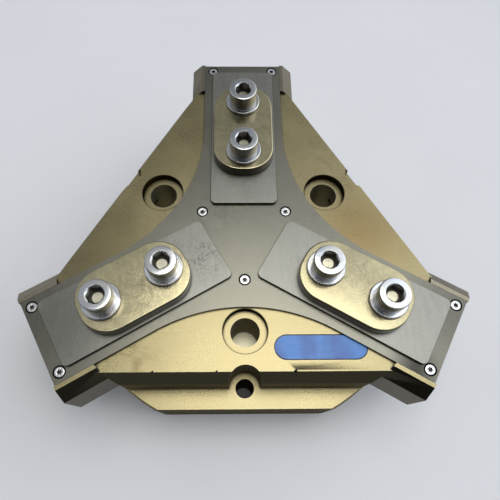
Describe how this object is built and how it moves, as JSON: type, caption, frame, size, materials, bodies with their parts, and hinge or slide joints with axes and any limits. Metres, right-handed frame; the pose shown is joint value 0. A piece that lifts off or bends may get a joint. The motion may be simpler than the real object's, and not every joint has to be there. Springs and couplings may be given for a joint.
{
  "type": "three jaw centric gripper",
  "caption": "Pneumatic centric gripper: a star-shaped body on a round base with radial jaws that close together on the axis.",
  "frame": {"origin": "on the gripper axis in the mounting face of the base", "axes": "+Z along the gripper axis from the base to the jaws; +Y along the arm of jaw a; +X to the right seen from the front"},
  "size_m": [0.2438, 0.2128, 0.1011],
  "materials": {
    "body_metal": "hard anodised, pale gold",
    "cover_metal": "satin, olive grey",
    "plate_steel": "fine ground",
    "adapter_metal": "satin, brownish gold",
    "zinc_steel": "bright zinc plated",
    "screw_steel": "bright",
    "hard_steel": "ground",
    "plain_aluminium": "turned",
    "seal_rubber": "matt black",
    "guide_plastic": "matt",
    "label_blue": "plain blue"
  },
  "bodies": {
    "body": {"housing": "body_metal", "star_cover": "cover_metal", "cover_screws": "screw_steel", "label_plate": "label_blue", "end_cover_a": "cover_metal", "end_cover_b": "cover_metal", "end_cover_c": "cover_metal", "end_cover_screws": "screw_steel", "window_seal_a": "seal_rubber", "window_seal_b": "seal_rubber", "window_seal_c": "seal_rubber", "cylinder_cover": "plain_aluminium", "cylinder_cover_seal": "seal_rubber", "cylinder_cover_screws": "screw_steel", "rod_seal": "seal_rubber"},
    "piston": {"piston": "plain_aluminium", "piston_seal": "seal_rubber", "piston_guide_ring": "guide_plastic", "wedge_hook": "hard_steel", "hook_screw": "screw_steel"},
    "jaw_a": {"base_jaw_a": "hard_steel", "slide_plate_a": "plate_steel", "jaw_adapter_a": "adapter_metal", "centring_sleeves_a": "screw_steel", "washers_a": "zinc_steel", "jaw_bolts_a": "zinc_steel"},
    "jaw_b": {"base_jaw_b": "hard_steel", "slide_plate_b": "plate_steel", "jaw_adapter_b": "adapter_metal", "centring_sleeves_b": "screw_steel", "washers_b": "zinc_steel", "jaw_bolts_b": "zinc_steel"},
    "jaw_c": {"base_jaw_c": "hard_steel", "slide_plate_c": "plate_steel", "jaw_adapter_c": "adapter_metal", "centring_sleeves_c": "screw_steel", "washers_c": "zinc_steel", "jaw_bolts_c": "zinc_steel"}
  },
  "joints": [
    {"name": "piston_slide", "type": "slide", "parent": "body", "child": "piston", "axis": [0, 0, 1], "range_m": [-0.008, 0.008]},
    {"name": "jaw_a_slide", "type": "slide", "parent": "body", "child": "jaw_a", "axis": [0, 1, 0], "range_m": [-0.008, 0.008]},
    {"name": "jaw_b_slide", "type": "slide", "parent": "body", "child": "jaw_b", "axis": [-0.866, -0.5, 0], "range_m": [-0.008, 0.008]},
    {"name": "jaw_c_slide", "type": "slide", "parent": "body", "child": "jaw_c", "axis": [0.866, -0.5, 0], "range_m": [-0.008, 0.008]}
  ],
  "couplings": [
    {"joint": "jaw_a_slide", "follows": "piston_slide", "ratio": 1},
    {"joint": "jaw_b_slide", "follows": "piston_slide", "ratio": 1},
    {"joint": "jaw_c_slide", "follows": "piston_slide", "ratio": 1}
  ]
}
